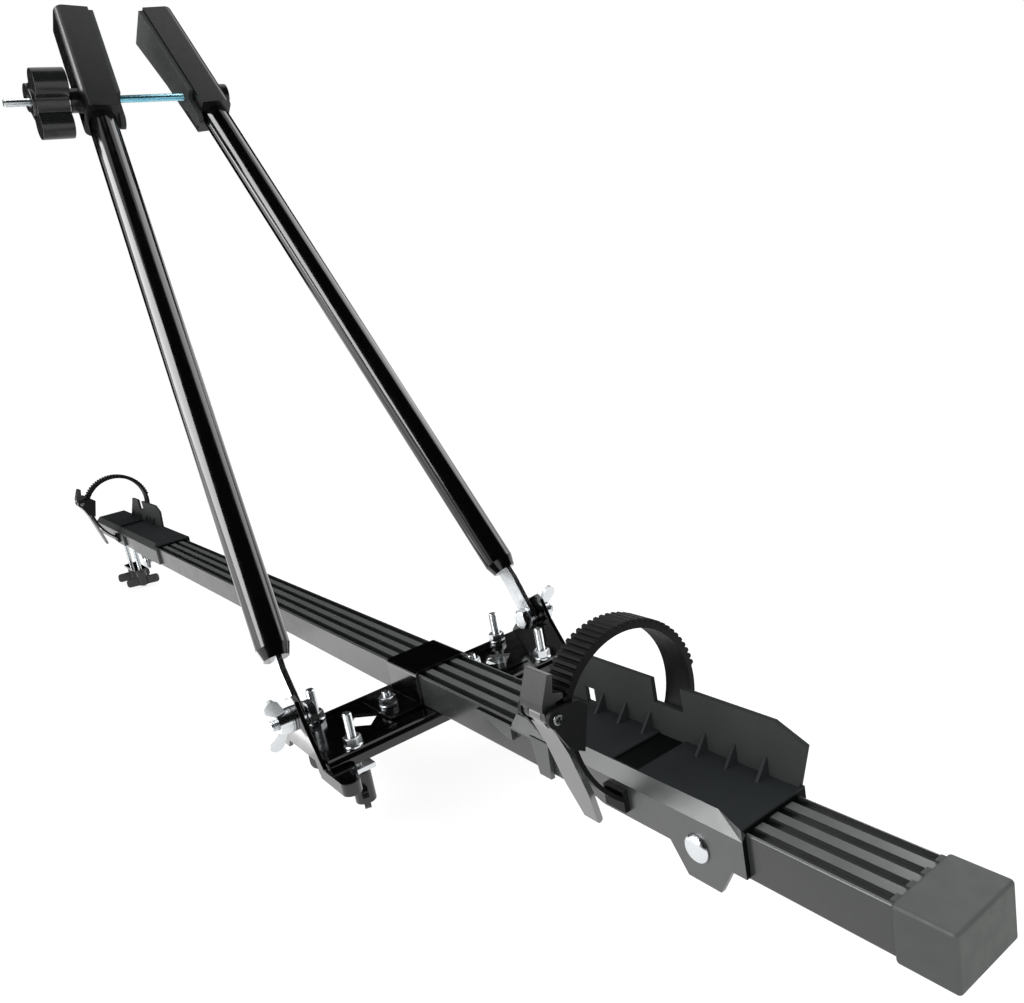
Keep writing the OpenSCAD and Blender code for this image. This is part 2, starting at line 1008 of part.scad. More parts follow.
// Wheel wall with a notch for the strap, as seen along Y
module wall_outline(x0, x1, strap_x, rise) {
    low = strap_w / 2 + 1.5;
    front = 16;
    chamfer = 7;
    polygon([
        [x0, 0],
        [x0 + rise, wall_h - 6],
        [x0 + rise + 6, wall_h],
        [strap_x - low, wall_h],
        [strap_x - low, wall_h * 0.6],
        [strap_x + low, wall_h * 0.6],
        [strap_x + low, wall_h],
        [x1 - front, wall_h],
        [x1, wall_h - chamfer],
        [x1 - 7, 0]
    ]);
}

// A stretch of the near skirt cut away, round at its front end, as seen along Y
module skirt_cut(x0, x1) {
    low = -skirt_h - 1;
    top = floor_top - shoulder - 1;
    r = top - low - 1;
    difference() {
        translate([x0, low])
            square([x1 + r - x0, top - low]);
        translate([x1 + r, top])
            circle(r);
    }
}

module tab_outline(x) {
    polygon([
        [x - 17, -skirt_h - eps],
        [x - 8, -skirt_h - tab_drop],
        [x + 11, -skirt_h - tab_drop],
        [x + 19, -skirt_h - eps],
        [x + 19, -skirt_h + 2],
        [x - 17, -skirt_h + 2]
    ]);
}

module tray_solid(x0, x1, strap_x, wall0, wall1, rise, cuts, tab_x, bolt_z) {
    lug_in = strap_w / 2 + 0.5;
    lug_t = 3;
    groove_half = strap_w / 2 + 0.5;
    groove_deep = 1.5;
    step = 18;
    rib_t = 1.6;
    corner = 17;
    window_in = 14;
    window_l = 7.6;
    window_h = 9.2;
    on_rail()
        difference() {
            union() {
                difference() {
                    along_x(x0, x1)
                        tray_section();
                    for (cut = cuts)
                        along_y(-big, 0)
                            skirt_cut(cut[0], cut[1]);
                    translate([strap_x - groove_half, shoulder - outer_y + 1, floor_top - groove_deep])
                        cube([2 * groove_half, outer_y + inner_y - shoulder - 1, big]);
                }
                difference() {
                    translate([0, 0, floor_top - shoulder])
                        linear_extrude(shoulder)
                            polygon([
                                [x1 - corner, shoulder - outer_y],
                                [x1, -outer_y],
                                [x1, shoulder - outer_y]
                            ]);
                    translate([x1 - corner - 1, -inner_y, slide_gap - big])
                        cube([corner + 2, big, big]);
                }
                along_y(inner_y, outer_y)
                    wall_outline(wall0, wall1, strap_x, rise);
                along_y(-outer_y, -inner_y)
                    tab_outline(tab_x);
                along_y(inner_y, outer_y)
                    tab_outline(tab_x);
                for (i = [0 : 2])
                    for (x = [strap_x - 15 - i * step, strap_x + 22 + i * step])
                        along_x(x, x + rib_t)
                            polygon([
                                [inner_y - gusset, floor_top - eps],
                                [inner_y + eps, floor_top - eps],
                                [inner_y + eps, floor_top + 1.2 * gusset]
                            ]);
                for (s = [-lug_in - lug_t, lug_in])
                    along_x(strap_x + s, strap_x + s + lug_t) {
                        translate([outer_y - eps, anchor_z - eye_r])
                            square([anchor_y - outer_y, 2 * eye_r]);
                        translate([anchor_y, anchor_z])
                            circle(eye_r);
                    }
            }
            translate([tab_x, 0, bolt_z])
                rotate([90, 0, 0])
                    cylinder(d = hole_d, h = big, center = true);
            translate([strap_x, anchor_y, anchor_z])
                rotate([0, 90, 0])
                    cylinder(d = pin_d + 2 * fit_gap, h = big, center = true);
            translate([wall0 + rise + window_in, inner_y - 1, floor_top])
                cube([window_l, tray_t + 2, window_h]);
        }
}

// Pointed end of the front tray's near shoulder, and the short tab behind the buckle
module shoulder_tip(x) {
    tip = 34;
    drop = 23;
    on_rail()
        along_y(-outer_y, -inner_y) {
            polygon([
                [x - tip, -1],
                [x + eps, -1],
                [x + eps, floor_top - shoulder - 8],
                [x - 6, floor_top - shoulder - 8]
            ]);
            polygon([
                [x + 18, -1.5],
                [x + 34, -1.5],
                [x + 32, -drop],
                [x + 22, -drop]
            ]);
        }
}

module front_tray() {
    color("#2a2c2d") {
        tray_solid(front_tray_rear, front_tray_front, front_strap_x, front_tray_rear + 8,
            front_tray_front + 5, 0, [[front_tray_rear - 1, front_strap_x - skirt_lead]],
            front_tab_x, tray_bolt_up - rail_h);
        shoulder_tip(front_tray_rear);
    }
}

module rear_tray() {
    color("#2a2c2d")
        tray_solid(rear_tray_rear, rear_tray_front, rear_strap_x, rear_strap_x - 80,
            rear_strap_x + 98, 32, [[rear_tray_rear - 1, rear_strap_x - skirt_lead],
                [rear_strap_x + skirt_lead, rear_tab_x - 2 * skirt_lead]],
            rear_tab_x, -rail_h - tray_bolt_down);
}

module tray_bolt(x, z) {
    color("silver")
        on_rail()
            translate([x, 0, z])
                rotate([90, 0, 0]) {
                    translate([0, 0, -outer_y - nut_h - 3])
                        cylinder(d = bolt_d, h = 2 * outer_y + nut_h + 3 + eps);
                    translate([0, 0, outer_y])
                        cylinder(r1 = dome_r, r2 = dome_r * 0.6, h = dome_h);
                }
}

module tray_nut(x, z) {
    color("silver")
        on_rail()
            translate([x, outer_y, z])
                rotate([-90, 0, 0])
                    hex_nut(nut_af, nut_h, hole_d);
}

// Straps and ratchet buckles, drawn in the Y-Z plane

module strap_side(x0, x1) {
    on_rail()
        along_x(x0, x1)
            children();
}

function arch(r, a) = [strap_cy + r * cos(a), strap_cz + r * sin(a)];

module strap_outline() {
    teeth = floor((arch_end - teeth_start) / tooth_step);
    polygon(concat(
        [for (a = [arch_start : 4 : teeth_start]) arch(strap_out, a)],
        [for (i = [0 : teeth - 1], p = [[0.1, 0], [0.3, 1], [0.75, 1], [0.95, 0]])
            arch(strap_out + p[1] * tooth_h, teeth_start + (i + p[0]) * tooth_step)],
        [arch(strap_out, arch_end)],
        [for (a = [arch_end : -4 : arch_start]) arch(strap_in, a)]
    ));
    polygon([
        arch(strap_out, arch_start + 4),
        arch(strap_in, arch_start + 4),
        [anchor_y - eye_r * 0.6, anchor_z],
        [anchor_y + eye_r * 0.6, anchor_z]
    ]);
    translate([anchor_y, anchor_z])
        circle(eye_r - 0.3);
}

module strap(x) {
    color("black")
        difference() {
            strap_side(x - strap_w / 2, x + strap_w / 2)
                strap_outline();
            strap_side(x - strap_w, x + strap_w)
                translate([anchor_y, anchor_z])
                    circle(d = pin_d + 2 * run_gap);
        }
}

module anchor_pin(x) {
    half = strap_w / 2 + 4.2;
    color("silver")
        strap_side(x - half, x + half)
            translate([anchor_y, anchor_z])
                circle(d = pin_d);
}

module ring_part(cy, cz, r0, r1, a0, a1) {
    steps = 16;
    polygon(concat(
        [for (i = [0 : steps]) [cy + r1 * cos(a0 + (a1 - a0) * i / steps),
            cz + r1 * sin(a0 + (a1 - a0) * i / steps)]],
        [for (i = [steps : -1 : 0]) [cy + r0 * cos(a0 + (a1 - a0) * i / steps),
            cz + r0 * sin(a0 + (a1 - a0) * i / steps)]]
    ));
}

module cheek_outline() {
    translate([pin_y, pin_z])
        circle(hub + 0.8);
    polygon([
        [pin_y + 12, pin_z - 21],
        [pin_y + 17.3, pin_z - 0.2],
        [pin_y + 13, pin_z + 3.6],
        [pin_y + 2, pin_z + 4.4],
        [pin_y - 2.4, pin_z - 3.8],
        [pin_y + 4.4, pin_z - 16.5]
    ]);
}

module buckle_base(x) {
    web_out = web_mid + web_t / 2;
    foot_low = arm_low - 6.5;
    foot_high = arm_low + 4.5;
    color("black")
        difference() {
            union() {
                strap_side(x - cheek_in - eps, x + cheek_in + eps) {
                    ring_part(strap_cy, strap_cz, web_out - web_t, web_out, arch_end - 4, arch_end + 13);
                }
                strap_side(x - arm_half, x + arm_half) {
                    ring_part(arm_cy, arm_cz, arm_r - web_t / 2, arm_r + web_t / 2, 178, 180 + arm_sweep);
                    polygon([
                        [-outer_y - 3, foot_low],
                        [-outer_y, foot_low],
                        [-outer_y, foot_high],
                        [-outer_y - 3, foot_high]
                    ]);
                }
                strap_side(x - cheek_out, x - cheek_in)
                    cheek_outline();
                strap_side(x + cheek_in, x + cheek_out)
                    cheek_outline();
            }
            strap_side(x - big, x + big)
                translate([pin_y, pin_z])
                    circle(d = pin_d + 2 * fit_gap);
        }
}

module buckle_pin(x) {
    rivet = 2.6;
    color("silver") {
        strap_side(x - cheek_out, x + cheek_out)
            translate([pin_y, pin_z])
                circle(d = pin_d);
        strap_side(x - cheek_out - 1.2, x - cheek_out)
            translate([pin_y, pin_z])
                circle(rivet);
        strap_side(x + cheek_out, x + cheek_out + 1.2)
            translate([pin_y, pin_z])
                circle(rivet);
    }
}

module pin_hole(x) {
    strap_side(x - big, x + big)
        translate([pin_y, pin_z])
            circle(d = pin_d + 2 * run_gap);
}

module lever(x) {
    tip_half = 4.5;
    tip_z = pin_z - 64;
    taper = 20;
    color("gray")
        difference() {
            union() {
                intersection() {
                    strap_side(x - lever_half, x + lever_half) {
                        polygon([
                            [pin_y - 0.8, pin_z - 5.6],
                            [pin_y + 5.1, pin_z - 20.3],
                            [pin_y + 9.6, pin_z - 36.3],
                            [pin_y + 16.5, pin_z - 61.3],
                            [pin_y + 19.7, pin_z - 60.8],
                            [pin_y + 12.4, pin_z - 35.3],
                            [pin_y + 9.6, pin_z - 27.3],
                            [pin_y + 8.1, pin_z - 19.3],
                            [pin_y + 2.2, pin_z - 5.6]
                        ]);
                        translate([pin_y + 18.1, pin_z - 61.3])
                            circle(1.6);
                    }
                    on_rail()
                        along_y(-2 * big, 0)
                            polygon([
                                [x - lever_half, pin_z],
                                [x - lever_half, tip_z + taper],
                                [x - tip_half, tip_z],
                                [x + tip_half, tip_z],
                                [x + lever_half, tip_z + taper],
                                [x + lever_half, pin_z]
                            ]);
                }
                strap_side(x - lever_hub, x + lever_hub) {
                    translate([pin_y, pin_z])
                        circle(hub);
                    polygon([
                        [pin_y - 3.6, pin_z - 0.8],
                        [pin_y - 0.6, pin_z - 6.6],
                        [pin_y + 2.8, pin_z - 6.6],
                        [pin_y + 3.6, pin_z - 0.8]
                    ]);
                }
            }
            pin_hole(x);
        }
}

module release(x) {
    side_w = lever_half - lever_hub - slide_gap;
    color("gray")
        difference() {
            union() {
                strap_side(x - lever_half, x + lever_half)
                    polygon([
                        [pin_y - 5, pin_z + 3.4],
                        [pin_y - 4.4, pin_z + 7],
                        [pin_y + 1, pin_z + 19.6],
                        [pin_y + 3.8, pin_z + 18.8],
                        [pin_y + 2.2, pin_z + 10.2],
                        [pin_y + 7.7, pin_z + 8.7],
                        [pin_y + 7.3, pin_z + 6.1],
                        [pin_y, pin_z + 5.4],
                        [pin_y - 3.3, pin_z + 5],
                        [pin_y - 3.5, pin_z + 3.4]
                    ]);
                for (x0 = [x - lever_half, x + lever_half - side_w])
                    strap_side(x0, x0 + side_w) {
                        translate([pin_y, pin_z])
                            circle(hub);
                        polygon([
                            [pin_y - 3.7, pin_z],
                            [pin_y - 4.2, pin_z + 6.5],
                            [pin_y + 3, pin_z + 7],
                            [pin_y + 3.7, pin_z]
                        ]);
                    }
            }
            pin_hole(x);
        }
}

rail();
front_end_cap();
rear_end_plug();
cross_bracket();
near_pivot_ear();
far_pivot_ear();
saddle_strap();
saddle_studs();
saddle_washers();
saddle_nuts();
stud_washers();
stud_nuts();
pivot_bolts();
pivot_washers();
pivot_wing_nut(-1);  // near_pivot_wing_nut
pivot_wing_nut(1);  // far_pivot_wing_nut
clamp_studs(-stud_y);  // near_clamp_studs
clamp_plate(-stud_y, stud_plate_z, clamp_half, stud_x);  // near_clamp_plate
clamp_studs(stud_y);  // far_clamp_studs
clamp_plate(stud_y, stud_plate_z, clamp_half, stud_x);  // far_clamp_plate
front_hand_nut(stud_x, -stud_y, -20);  // near_front_hand_nut
front_hand_nut(-stud_x, -stud_y, 20);  // near_rear_hand_nut
front_hand_nut(stud_x, stud_y, 110);  // far_front_hand_nut
front_hand_nut(-stud_x, stud_y, 60);  // far_rear_hand_nut
rear_clamp_bolts();
rear_seat_plate();
rear_clamp_plate();
rear_hand_nut(rear_stud_x, 70);  // rear_clamp_hand_nut_front
rear_hand_nut(-rear_stud_x, 80);  // rear_clamp_hand_nut_rear
near_tongue();
near_tube();
near_jaw();
near_jaw_pad();
far_tongue();
far_tube();
far_jaw();
far_jaw_pad();
jaw_bolt();
knob_washer();
knob();
front_tray();
tray_bolt(front_tab_x, tray_bolt_up - rail_h);  // front_tray_bolt
tray_nut(front_tab_x, tray_bolt_up - rail_h);  // front_tray_nut
anchor_pin(front_strap_x);  // front_anchor_pin
strap(front_strap_x);  // front_strap
buckle_base(front_strap_x);  // front_buckle_base
buckle_pin(front_strap_x);  // front_buckle_pin
lever(front_strap_x);  // front_lever
release(front_strap_x);  // front_release
rear_tray();
tray_bolt(rear_tab_x, -rail_h - tray_bolt_down);  // rear_tray_bolt
tray_nut(rear_tab_x, -rail_h - tray_bolt_down);  // rear_tray_nut
anchor_pin(rear_strap_x);  // rear_anchor_pin
strap(rear_strap_x);  // rear_strap
buckle_base(rear_strap_x);  // rear_buckle_base
buckle_pin(rear_strap_x);  // rear_buckle_pin
lever(rear_strap_x);  // rear_lever
release(rear_strap_x);  // rear_release
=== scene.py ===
import json
import math
import bpy
import bmesh
from mathutils import Euler, Matrix, Vector

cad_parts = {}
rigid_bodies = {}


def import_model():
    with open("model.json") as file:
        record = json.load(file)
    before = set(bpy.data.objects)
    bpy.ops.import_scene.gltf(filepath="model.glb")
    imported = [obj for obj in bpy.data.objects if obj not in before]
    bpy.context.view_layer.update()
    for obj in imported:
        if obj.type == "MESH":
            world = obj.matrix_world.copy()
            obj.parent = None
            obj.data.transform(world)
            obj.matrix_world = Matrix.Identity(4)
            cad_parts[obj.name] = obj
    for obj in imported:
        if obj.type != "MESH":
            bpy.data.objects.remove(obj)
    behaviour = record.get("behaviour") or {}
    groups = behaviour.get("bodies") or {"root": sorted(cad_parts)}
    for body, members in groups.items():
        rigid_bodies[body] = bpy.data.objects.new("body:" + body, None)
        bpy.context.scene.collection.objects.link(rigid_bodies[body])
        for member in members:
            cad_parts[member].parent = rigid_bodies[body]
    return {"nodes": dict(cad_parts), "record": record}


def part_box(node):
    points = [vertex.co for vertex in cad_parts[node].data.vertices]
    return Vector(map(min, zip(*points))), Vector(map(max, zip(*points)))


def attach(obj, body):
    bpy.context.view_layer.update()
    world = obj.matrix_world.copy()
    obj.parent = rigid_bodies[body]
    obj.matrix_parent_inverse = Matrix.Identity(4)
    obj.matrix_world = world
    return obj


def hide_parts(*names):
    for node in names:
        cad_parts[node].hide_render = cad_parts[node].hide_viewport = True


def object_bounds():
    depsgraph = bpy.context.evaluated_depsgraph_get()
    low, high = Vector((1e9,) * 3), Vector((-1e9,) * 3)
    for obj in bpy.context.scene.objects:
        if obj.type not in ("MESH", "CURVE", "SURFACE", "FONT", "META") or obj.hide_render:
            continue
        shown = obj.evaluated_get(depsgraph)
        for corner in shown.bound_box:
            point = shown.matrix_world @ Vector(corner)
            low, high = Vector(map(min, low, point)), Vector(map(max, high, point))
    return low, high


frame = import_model()
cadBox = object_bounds()
nodes = frame["nodes"]
record = frame["record"]
mm = 0.001
nodeSlot = {part["node"]: part["material_slot"] for part in record["subparts"]}
nodeBody = {node: body for body, members in record["behaviour"]["bodies"].items() for node in members}
print("frame loaded,", len(nodes), "nodes")


# colours and shader nodes

def toLinear(hexColour):
    channels = [int(hexColour[i:i + 2], 16) / 255 for i in (1, 3, 5)]
    linear = [c / 12.92 if c <= 0.04045 else ((c + 0.055) / 1.055) ** 2.4 for c in channels]
    return (*linear, 1.0)


def addNode(tree, kind, settings=None, links=None):
    node = tree.nodes.new(kind)
    for name, value in (settings or {}).items():
        if isinstance(name, str) and hasattr(node, name):
            setattr(node, name, value)
        else:
            node.inputs[name].default_value = value
    for socket, source in (links or {}).items():
        tree.links.new(source, node.inputs[socket])
    return node


def startMaterial(name, sockets):
    material = bpy.data.materials.new(name)
    material.use_nodes = True
    tree = material.node_tree
    shader = tree.nodes["Principled BSDF"]
    for socket, value in sockets.items():
        shader.inputs[socket].default_value = value
    coordinates = addNode(tree, "ShaderNodeTexCoord")
    return material, tree, shader, coordinates.outputs


# one repeat of a pattern per size in millimetres, on coordinates in metres
def perSize(sizeMm):
    return 1 / (sizeMm * mm)


# colour that wanders between two tones in soft blotches of a given size
def blotches(tree, place, sizeMm, dark, light, detail=3.0):
    noise = addNode(tree, "ShaderNodeTexNoise", {"Scale": perSize(sizeMm), "Detail": detail}, {"Vector": place})
    mix = addNode(tree, "ShaderNodeMix", {"data_type": "RGBA", 6: toLinear(dark), 7: toLinear(light)},
                  {0: noise.outputs["Fac"]})
    return mix.outputs[2]


# bump from fine noise: grain size and depth in millimetres
def grainBump(tree, place, grainMm, depthMm, strength, detail=2.0):
    grain = addNode(tree, "ShaderNodeTexNoise", {"Scale": perSize(grainMm), "Detail": detail}, {"Vector": place})
    return addNode(tree, "ShaderNodeBump", {"Distance": depthMm * mm, "Strength": strength},
                   {"Height": grain.outputs["Fac"]}).outputs["Normal"]


# a value that wanders between two limits
def wander(tree, place, sizeMm, low, high):
    noise = addNode(tree, "ShaderNodeTexNoise", {"Scale": perSize(sizeMm), "Detail": 4.0}, {"Vector": place})
    return addNode(tree, "ShaderNodeMapRange", {"From Min": 0.3, "From Max": 0.7, "To Min": low, "To Max": high},
                   {"Value": noise.outputs["Fac"]}).outputs["Result"]


# worn edges and painted edge shade: another tone where the surface turns sharply, lighter for wear and darker where
# an edge is painted as shade
def edgeWearAndShade(tree, colour, edgeColour, share):
    blunt, pointed = 0.53, 0.62
    sharp = addNode(tree, "ShaderNodeNewGeometry").outputs["Pointiness"]
    wornAndShadedEdge = addNode(tree, "ShaderNodeMapRange", {"From Min": blunt, "From Max": pointed, "To Max": share},
                   {"Value": sharp})
    mix = addNode(tree, "ShaderNodeMix", {"data_type": "RGBA", 7: toLinear(edgeColour)},
                  {0: wornAndShadedEdge.outputs["Result"], 6: colour})
    return mix.outputs[2]


# painted light and shade: one colour on the faces that look along an axis and another on the rest
def shadeByFacing(tree, facing, turned, square):
    askew, straight = 0.75, 0.95
    share = addNode(tree, "ShaderNodeMapRange", {"From Min": askew, "From Max": straight}, {"Value": facing})
    mix = addNode(tree, "ShaderNodeMix", {"data_type": "RGBA"}, {0: share.outputs["Result"], 6: turned, 7: square})
    return mix.outputs[2]


# steel powder coated in charcoal: the cured powder leaves a soft orange peel and an even gloss;
# the top is painted lighter than the sides as painted light, and painted shade lies dark in the grooves
def makePowderCoat():
    look = {"side": ("#2b2d2c", "#353736"), "top": ("#4d504f", "#595c5b"), "groove": "#111212", "blotchMm": 45,
            "peelMm": 0.9, "peelDepthMm": 0.01, "peel": 0.1, "roughMm": 12, "rough": (0.2, 0.28),
            "grooveMm": (2.2, 0.7), "grooveEdgeMm": (16.7, 17.3)}
    material, tree, shader, place = startMaterial("powderCoatedSteel", {"IOR": 1.5})
    facing = addNode(tree, "ShaderNodeSeparateXYZ", None, {0: place["Normal"]})
    # painted light: the top faces get a lighter colour than the side faces
    coat = shadeByFacing(tree, facing.outputs["Z"], blotches(tree, place["Object"], look["blotchMm"], *look["side"]),
                    blotches(tree, place["Object"], look["blotchMm"], *look["top"]))
    # painted shade: darker below the ridges' tops, inside the rail's edges, so in the grooves
    axes = addNode(tree, "ShaderNodeSeparateXYZ", None, {0: place["Object"]})
    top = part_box("rail")[1].z
    low, high = [top - depth * mm for depth in look["grooveMm"]]
    above = addNode(tree, "ShaderNodeMapRange", {"From Min": low, "From Max": high}, {"Value": axes.outputs["Z"]})
    aside = addNode(tree, "ShaderNodeMath", {"operation": "ABSOLUTE"}, {0: axes.outputs["Y"]})
    inner, outer = [edge * mm for edge in look["grooveEdgeMm"]]
    beyond = addNode(tree, "ShaderNodeMapRange", {"From Min": inner, "From Max": outer}, {"Value": aside.outputs[0]})
    clear = addNode(tree, "ShaderNodeMath", {"operation": "MAXIMUM"},
                    {0: above.outputs["Result"], 1: beyond.outputs["Result"]})
    colour = addNode(tree, "ShaderNodeMix", {"data_type": "RGBA", 6: toLinear(look["groove"])},
                     {0: clear.outputs[0], 7: coat})
    tree.links.new(colour.outputs[2], shader.inputs["Base Color"])
    tree.links.new(wander(tree, place["Object"], look["roughMm"], *look["rough"]), shader.inputs["Roughness"])
    tree.links.new(grainBump(tree, place["Object"], look["peelMm"], look["peelDepthMm"], look["peel"]),
                   shader.inputs["Normal"])
    return material


# steel in stoved black enamel: a hard mirror gloss with faint waves in it
def makeBlackEnamel():
    look = {"dark": "#020202", "light": "#050505", "blotchMm": 30, "waveMm": 7, "waveDepthMm": 0.04, "wave": 0.1,
            "roughMm": 9, "rough": (0.10, 0.16)}
    sockets = {"IOR": 1.5, "Coat Weight": 0.3, "Coat Roughness": 0.05}
    material, tree, shader, place = startMaterial("stovedBlackEnamel", sockets)
    colour = blotches(tree, place["Object"], look["blotchMm"], look["dark"], look["light"])
    tree.links.new(colour, shader.inputs["Base Color"])
    tree.links.new(wander(tree, place["Object"], look["roughMm"], *look["rough"]), shader.inputs["Roughness"])
    tree.links.new(grainBump(tree, place["Object"], look["waveMm"], look["waveDepthMm"], look["wave"]),
                   shader.inputs["Normal"])
    return material


# bright zinc plate on steel: pale blue-grey metal with a faint crystalline bloom
def makeZincPlate(name="brightZincPlate", dark="#cfd3d6", light="#e6e9eb"):
    look = {"blotchMm": 9.0, "bloomMm": 1.2, "bloomDepthMm": 0.01, "bloom": 0.15, "roughMm": 6, "rough": (0.2, 0.28)}
    material, tree, shader, place = startMaterial(name, {"Metallic": 1.0})
    colour = blotches(tree, place["Object"], look["blotchMm"], dark, light, 2.0)
    tree.links.new(colour, shader.inputs["Base Color"])
    tree.links.new(wander(tree, place["Object"], look["roughMm"], *look["rough"]), shader.inputs["Roughness"])
    tree.links.new(grainBump(tree, place["Object"], look["bloomMm"], look["bloomDepthMm"], look["bloom"]),
                   shader.inputs["Normal"])
    return material


# blue passivated zinc on the jaw bolt, paler on the end that sticks out of the knob
def makeBlueZinc():
    look = {"blue": ("#9ad6e8", "#c2eaf4"), "paleEnd": ("#cdd2d4", "#e4e8ea"), "blotchMm": 9.0, "fadeMm": 2,
            "roughMm": 6, "rough": (0.2, 0.3)}
    material, tree, shader, place = startMaterial("blueZincPlate", {"Metallic": 1.0})
    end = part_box("knob")[0].y
    axes = addNode(tree, "ShaderNodeSeparateXYZ", None, {0: place["Object"]})
    share = addNode(tree, "ShaderNodeMapRange", {"From Min": end - look["fadeMm"] * mm, "From Max": end},
                    {"Value": axes.outputs["Y"]})
    paleEnd = blotches(tree, place["Object"], look["blotchMm"], *look["paleEnd"])
    blue = blotches(tree, place["Object"], look["blotchMm"], *look["blue"])
    colour = addNode(tree, "ShaderNodeMix", {"data_type": "RGBA"}, {0: share.outputs["Result"], 6: paleEnd, 7: blue})
    tree.links.new(colour.outputs[2], shader.inputs["Base Color"])
    tree.links.new(wander(tree, place["Object"], look["roughMm"], *look["rough"]), shader.inputs["Roughness"])
    return material


# black plastics differ by their tool: a polished one leaves gloss, an etched one a dull leathery grain
def makeBlackPlastic(name, look):
    roughMm, edgeShare = 6, 0.5
    material, tree, shader, place = startMaterial(name, {"IOR": look["ior"], "Specular IOR Level": look["shine"]})
    colour = blotches(tree, place["Object"], look["blotchMm"], look["dark"], look["light"])
    tree.links.new(edgeWearAndShade(tree, colour, look["wornAndShadedEdge"], edgeShare), shader.inputs["Base Color"])
    tree.links.new(wander(tree, place["Object"], roughMm, *look["rough"]), shader.inputs["Roughness"])
    tree.links.new(grainBump(tree, place["Object"], look["grainMm"], look["grainDepthMm"], look["grain"]),
                   shader.inputs["Normal"])
    return material


# glass-filled nylon, moulded in a polished tool: black with a soft sheen and slight flow marks
mouldedNylon = makeBlackPlastic("mouldedNylon", {
    "dark": "#0c0d0d", "light": "#161717", "wornAndShadedEdge": "#2a2b2b", "ior": 1.53, "shine": 0.5, "rough": (0.2, 0.3),
    "blotchMm": 14, "grainMm": 0.7, "grainDepthMm": 0.03, "grain": 0.2})

# the same nylon from a mirror tool, as the jaws have it
polishedNylon = makeBlackPlastic("polishedNylon", {
    "dark": "#080808", "light": "#101111", "wornAndShadedEdge": "#0c0d0d", "ior": 1.53, "shine": 0.4, "rough": (0.2, 0.28),
    "blotchMm": 14, "grainMm": 1.5, "grainDepthMm": 0.02, "grain": 0.08})

# the same nylon from an etched tool, as the buckle's cheeks have it: nearly dead black
etchedNylon = makeBlackPlastic("etchedNylon", {
    "dark": "#070708", "light": "#0d0e0e", "wornAndShadedEdge": "#202121", "ior": 1.53, "shine": 0.15, "rough": (0.4, 0.5),
    "blotchMm": 12, "grainMm": 0.8, "grainDepthMm": 0.04, "grain": 0.3})

# acetal, moulded in a mirror tool: black levers that throw back the pale floor
mouldedAcetal = makeBlackPlastic("mouldedAcetal", {
    "dark": "#0d0e0e", "light": "#131414", "wornAndShadedEdge": "#2a2c2c", "ior": 2.0, "shine": 0.9, "rough": (0.1, 0.16),
    "blotchMm": 10, "grainMm": 0.8, "grainDepthMm": 0.02, "grain": 0.12})

# thermoplastic strap, moulded: black with a dull slippery skin
mouldedStrap = makeBlackPlastic("mouldedStrapElastomer", {
    "dark": "#040404", "light": "#090909", "wornAndShadedEdge": "#202121", "ior": 1.48, "shine": 0.15, "rough": (0.46, 0.56),
    "blotchMm": 8, "grainMm": 0.6, "grainDepthMm": 0.03, "grain": 0.2})

# polyethylene cap, moulded in an etched tool: dull charcoal with a fine leathery grain; its edges are painted
# darker, as painted shade
etchedPolyethylene = makeBlackPlastic("etchedPolyethylene", {
    "dark": "#3e413f", "light": "#464947", "wornAndShadedEdge": "#303331", "ior": 1.51, "shine": 0.3, "rough": (0.5, 0.62),
    "blotchMm": 18, "grainMm": 1.0, "grainDepthMm": 0.05, "grain": 0.35})

# rubber pad, press moulded: dead black-grey with a dusty bloom
pressedRubber = makeBlackPlastic("pressMouldedRubber", {
    "dark": "#1f2020", "light": "#2c2e2e", "wornAndShadedEdge": "#454747", "ior": 1.52, "shine": 0.25, "rough": (0.55, 0.75),
    "blotchMm": 10, "grainMm": 0.6, "grainDepthMm": 0.05, "grain": 0.4})


# polypropylene from an etched tool, with painted light and shade: the wheel wall is painted a lighter grey than the
# floor and gussets, and painted shade lies in the strap's channel across the floor
def makeTrayPlastic():
    look = {"floor": ("#202223", "#282b2c"), "wall": ("#343635", "#3f4140"), "channelShade": "#080909", "blotchMm": 25,
            "floorMm": 3.3, "channelShadeMm": (1.2, 0.6), "grainMm": 0.8, "grainDepthMm": 0.03, "grain": 0.15,
            "roughMm": 8, "rough": (0.44, 0.54)}
    material, tree, shader, place = startMaterial("etchedPolypropylene", {"IOR": 1.49, "Specular IOR Level": 0.04})
    facing = addNode(tree, "ShaderNodeSeparateXYZ", None, {0: place["Normal"]})
    across = addNode(tree, "ShaderNodeMath", {"operation": "ABSOLUTE"}, {0: facing.outputs["Y"]})
    axes = addNode(tree, "ShaderNodeSeparateXYZ", None, {0: place["Object"]})
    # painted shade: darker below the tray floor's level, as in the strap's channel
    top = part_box("rail")[1].z + look["floorMm"] * mm
    low, high = [top - depth * mm for depth in look["channelShadeMm"]]
    above = addNode(tree, "ShaderNodeMapRange", {"From Min": low, "From Max": high}, {"Value": axes.outputs["Z"]})
    unshadedFloor = blotches(tree, place["Object"], look["blotchMm"], *look["floor"])
    floor = addNode(tree, "ShaderNodeMix", {"data_type": "RGBA", 6: toLinear(look["channelShade"])},
                    {0: above.outputs["Result"], 7: unshadedFloor})
    # painted light and shade: faces that look sideways get the lighter wall colour, the floor and gussets the darker
    # one
    colour = shadeByFacing(tree, across.outputs[0], floor.outputs[2],
                      blotches(tree, place["Object"], look["blotchMm"], *look["wall"]))
    tree.links.new(colour, shader.inputs["Base Color"])
    tree.links.new(wander(tree, place["Object"], look["roughMm"], *look["rough"]), shader.inputs["Roughness"])
    tree.links.new(grainBump(tree, place["Object"], look["grainMm"], look["grainDepthMm"], look["grain"]),
                   shader.inputs["Normal"])
    return material


